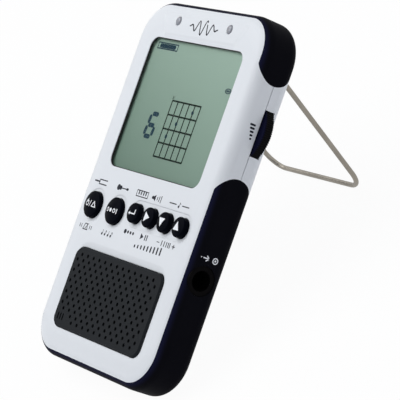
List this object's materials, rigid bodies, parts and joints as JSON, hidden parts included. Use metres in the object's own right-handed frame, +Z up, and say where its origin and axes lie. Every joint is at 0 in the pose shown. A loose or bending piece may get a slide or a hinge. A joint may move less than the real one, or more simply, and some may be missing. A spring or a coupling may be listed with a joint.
{
  "type": "metronome tuner",
  "caption": "Pocket metronome and tuner with a segment display, round keys, speaker grille, gain wheel and plug socket, leaning on a fold-out wire stand.",
  "frame": {"origin": "centre of the base of the bounding box, on the table under the leaning device", "axes": "+X to the device's right side, +Y away from the user, +Z up"},
  "size_m": [0.0776, 0.109, 0.0717],
  "materials": {
    "white_shell": "glossy",
    "black_rubber": "satin",
    "key_black": "semi-gloss",
    "grille_grey": "matte",
    "cloth": "matte",
    "wheel_black": "matte",
    "wire_steel": "satin",
    "lens_clear": "glossy",
    "lcd_green": "satin",
    "gasket_black": "matte",
    "holder_white": "matte",
    "lamp_lens": "glossy",
    "board_green": "satin",
    "chip_black": "matte",
    "bare_steel": "satin",
    "plated_contacts": "satin",
    "capacitor_can": "satin",
    "cone_paper": "matte",
    "foam": "matte",
    "plunger_grey": "matte",
    "cell_jacket": "satin",
    "lead_sleeve": "matte"
  },
  "bodies": {
    "case": {"front_cover": "white_shell", "rear_cover": "white_shell", "top_bumper": "black_rubber", "bottom_bumper": "black_rubber", "lcd_gasket": "gasket_black", "lcd_lens": "lens_clear", "lcd_panel": "lcd_green", "lcd_holder": "holder_white", "connector_strips": "gasket_black", "main_board": "board_green", "board_screws": "bare_steel", "controller_chip": "chip_black", "quartz_can": "bare_steel", "capacitors": "capacitor_can", "tact_switches": "holder_white", "left_lamp": "lamp_lens", "right_lamp": "lamp_lens", "speaker_grille": "grille_grey", "dust_cloth": "cloth", "speaker_foam": "foam", "speaker_frame": "bare_steel", "speaker_magnet": "bare_steel", "speaker_cone": "cone_paper", "speaker_leads": "lead_sleeve", "mic_boot": "gasket_black", "mic_capsule": "bare_steel", "pot_body": "chip_black", "input_socket": "chip_black", "socket_ring": "chip_black", "socket_contacts": "plated_contacts", "left_cell": "cell_jacket", "right_cell": "cell_jacket", "cell_springs": "bare_steel", "cell_plates": "plated_contacts", "case_screws": "bare_steel"},
    "power": {"power_key": "key_black", "power_plunger": "plunger_grey"},
    "position": {"position_key": "key_black", "position_plunger": "plunger_grey"},
    "set": {"set_key": "key_black", "set_plunger": "plunger_grey"},
    "play": {"play_key": "key_black", "play_plunger": "plunger_grey"},
    "down": {"down_key": "key_black", "down_plunger": "plunger_grey"},
    "up": {"up_key": "key_black", "up_plunger": "plunger_grey"},
    "gain": {"gain_wheel": "wheel_black", "gain_shaft": "bare_steel", "wheel_screw": "bare_steel"},
    "door": {"battery_door": "white_shell"},
    "stand": {"wire_stand": "wire_steel"}
  },
  "joints": [
    {"name": "power_press", "type": "slide", "parent": "case", "child": "power", "axis": [0, -0.5138, 0.8579], "range_m": [-0.0006, 0], "stiffness_N_per_m": 2500, "springref_m": 0.0001},
    {"name": "position_press", "type": "slide", "parent": "case", "child": "position", "axis": [0, -0.5138, 0.8579], "range_m": [-0.0006, 0], "stiffness_N_per_m": 2500, "springref_m": 0.0001},
    {"name": "set_press", "type": "slide", "parent": "case", "child": "set", "axis": [0, -0.5138, 0.8579], "range_m": [-0.0006, 0], "stiffness_N_per_m": 2500, "springref_m": 0.0001},
    {"name": "play_press", "type": "slide", "parent": "case", "child": "play", "axis": [0, -0.5138, 0.8579], "range_m": [-0.0006, 0], "stiffness_N_per_m": 2500, "springref_m": 0.0001},
    {"name": "down_press", "type": "slide", "parent": "case", "child": "down", "axis": [0, -0.5138, 0.8579], "range_m": [-0.0006, 0], "stiffness_N_per_m": 2500, "springref_m": 0.0001},
    {"name": "up_press", "type": "slide", "parent": "case", "child": "up", "axis": [0, -0.5138, 0.8579], "range_m": [-0.0006, 0], "stiffness_N_per_m": 2500, "springref_m": 0.0001},
    {"name": "gain_turn", "type": "hinge", "parent": "case", "child": "gain", "pos_m": [0.028, 0.02259, 0.04844], "axis": [0, -0.5138, 0.8579], "range_deg": [-140, 140]},
    {"name": "door_slide", "type": "slide", "parent": "case", "child": "door", "axis": [0, -0.8579, -0.5138], "range_m": [0, 0.045]},
    {"name": "stand_fold", "type": "hinge", "parent": "case", "child": "stand", "pos_m": [-0.0013, 0.04411, 0.0523], "axis": [1, 0, 0], "range_deg": [-63.7, 0]}
  ]
}
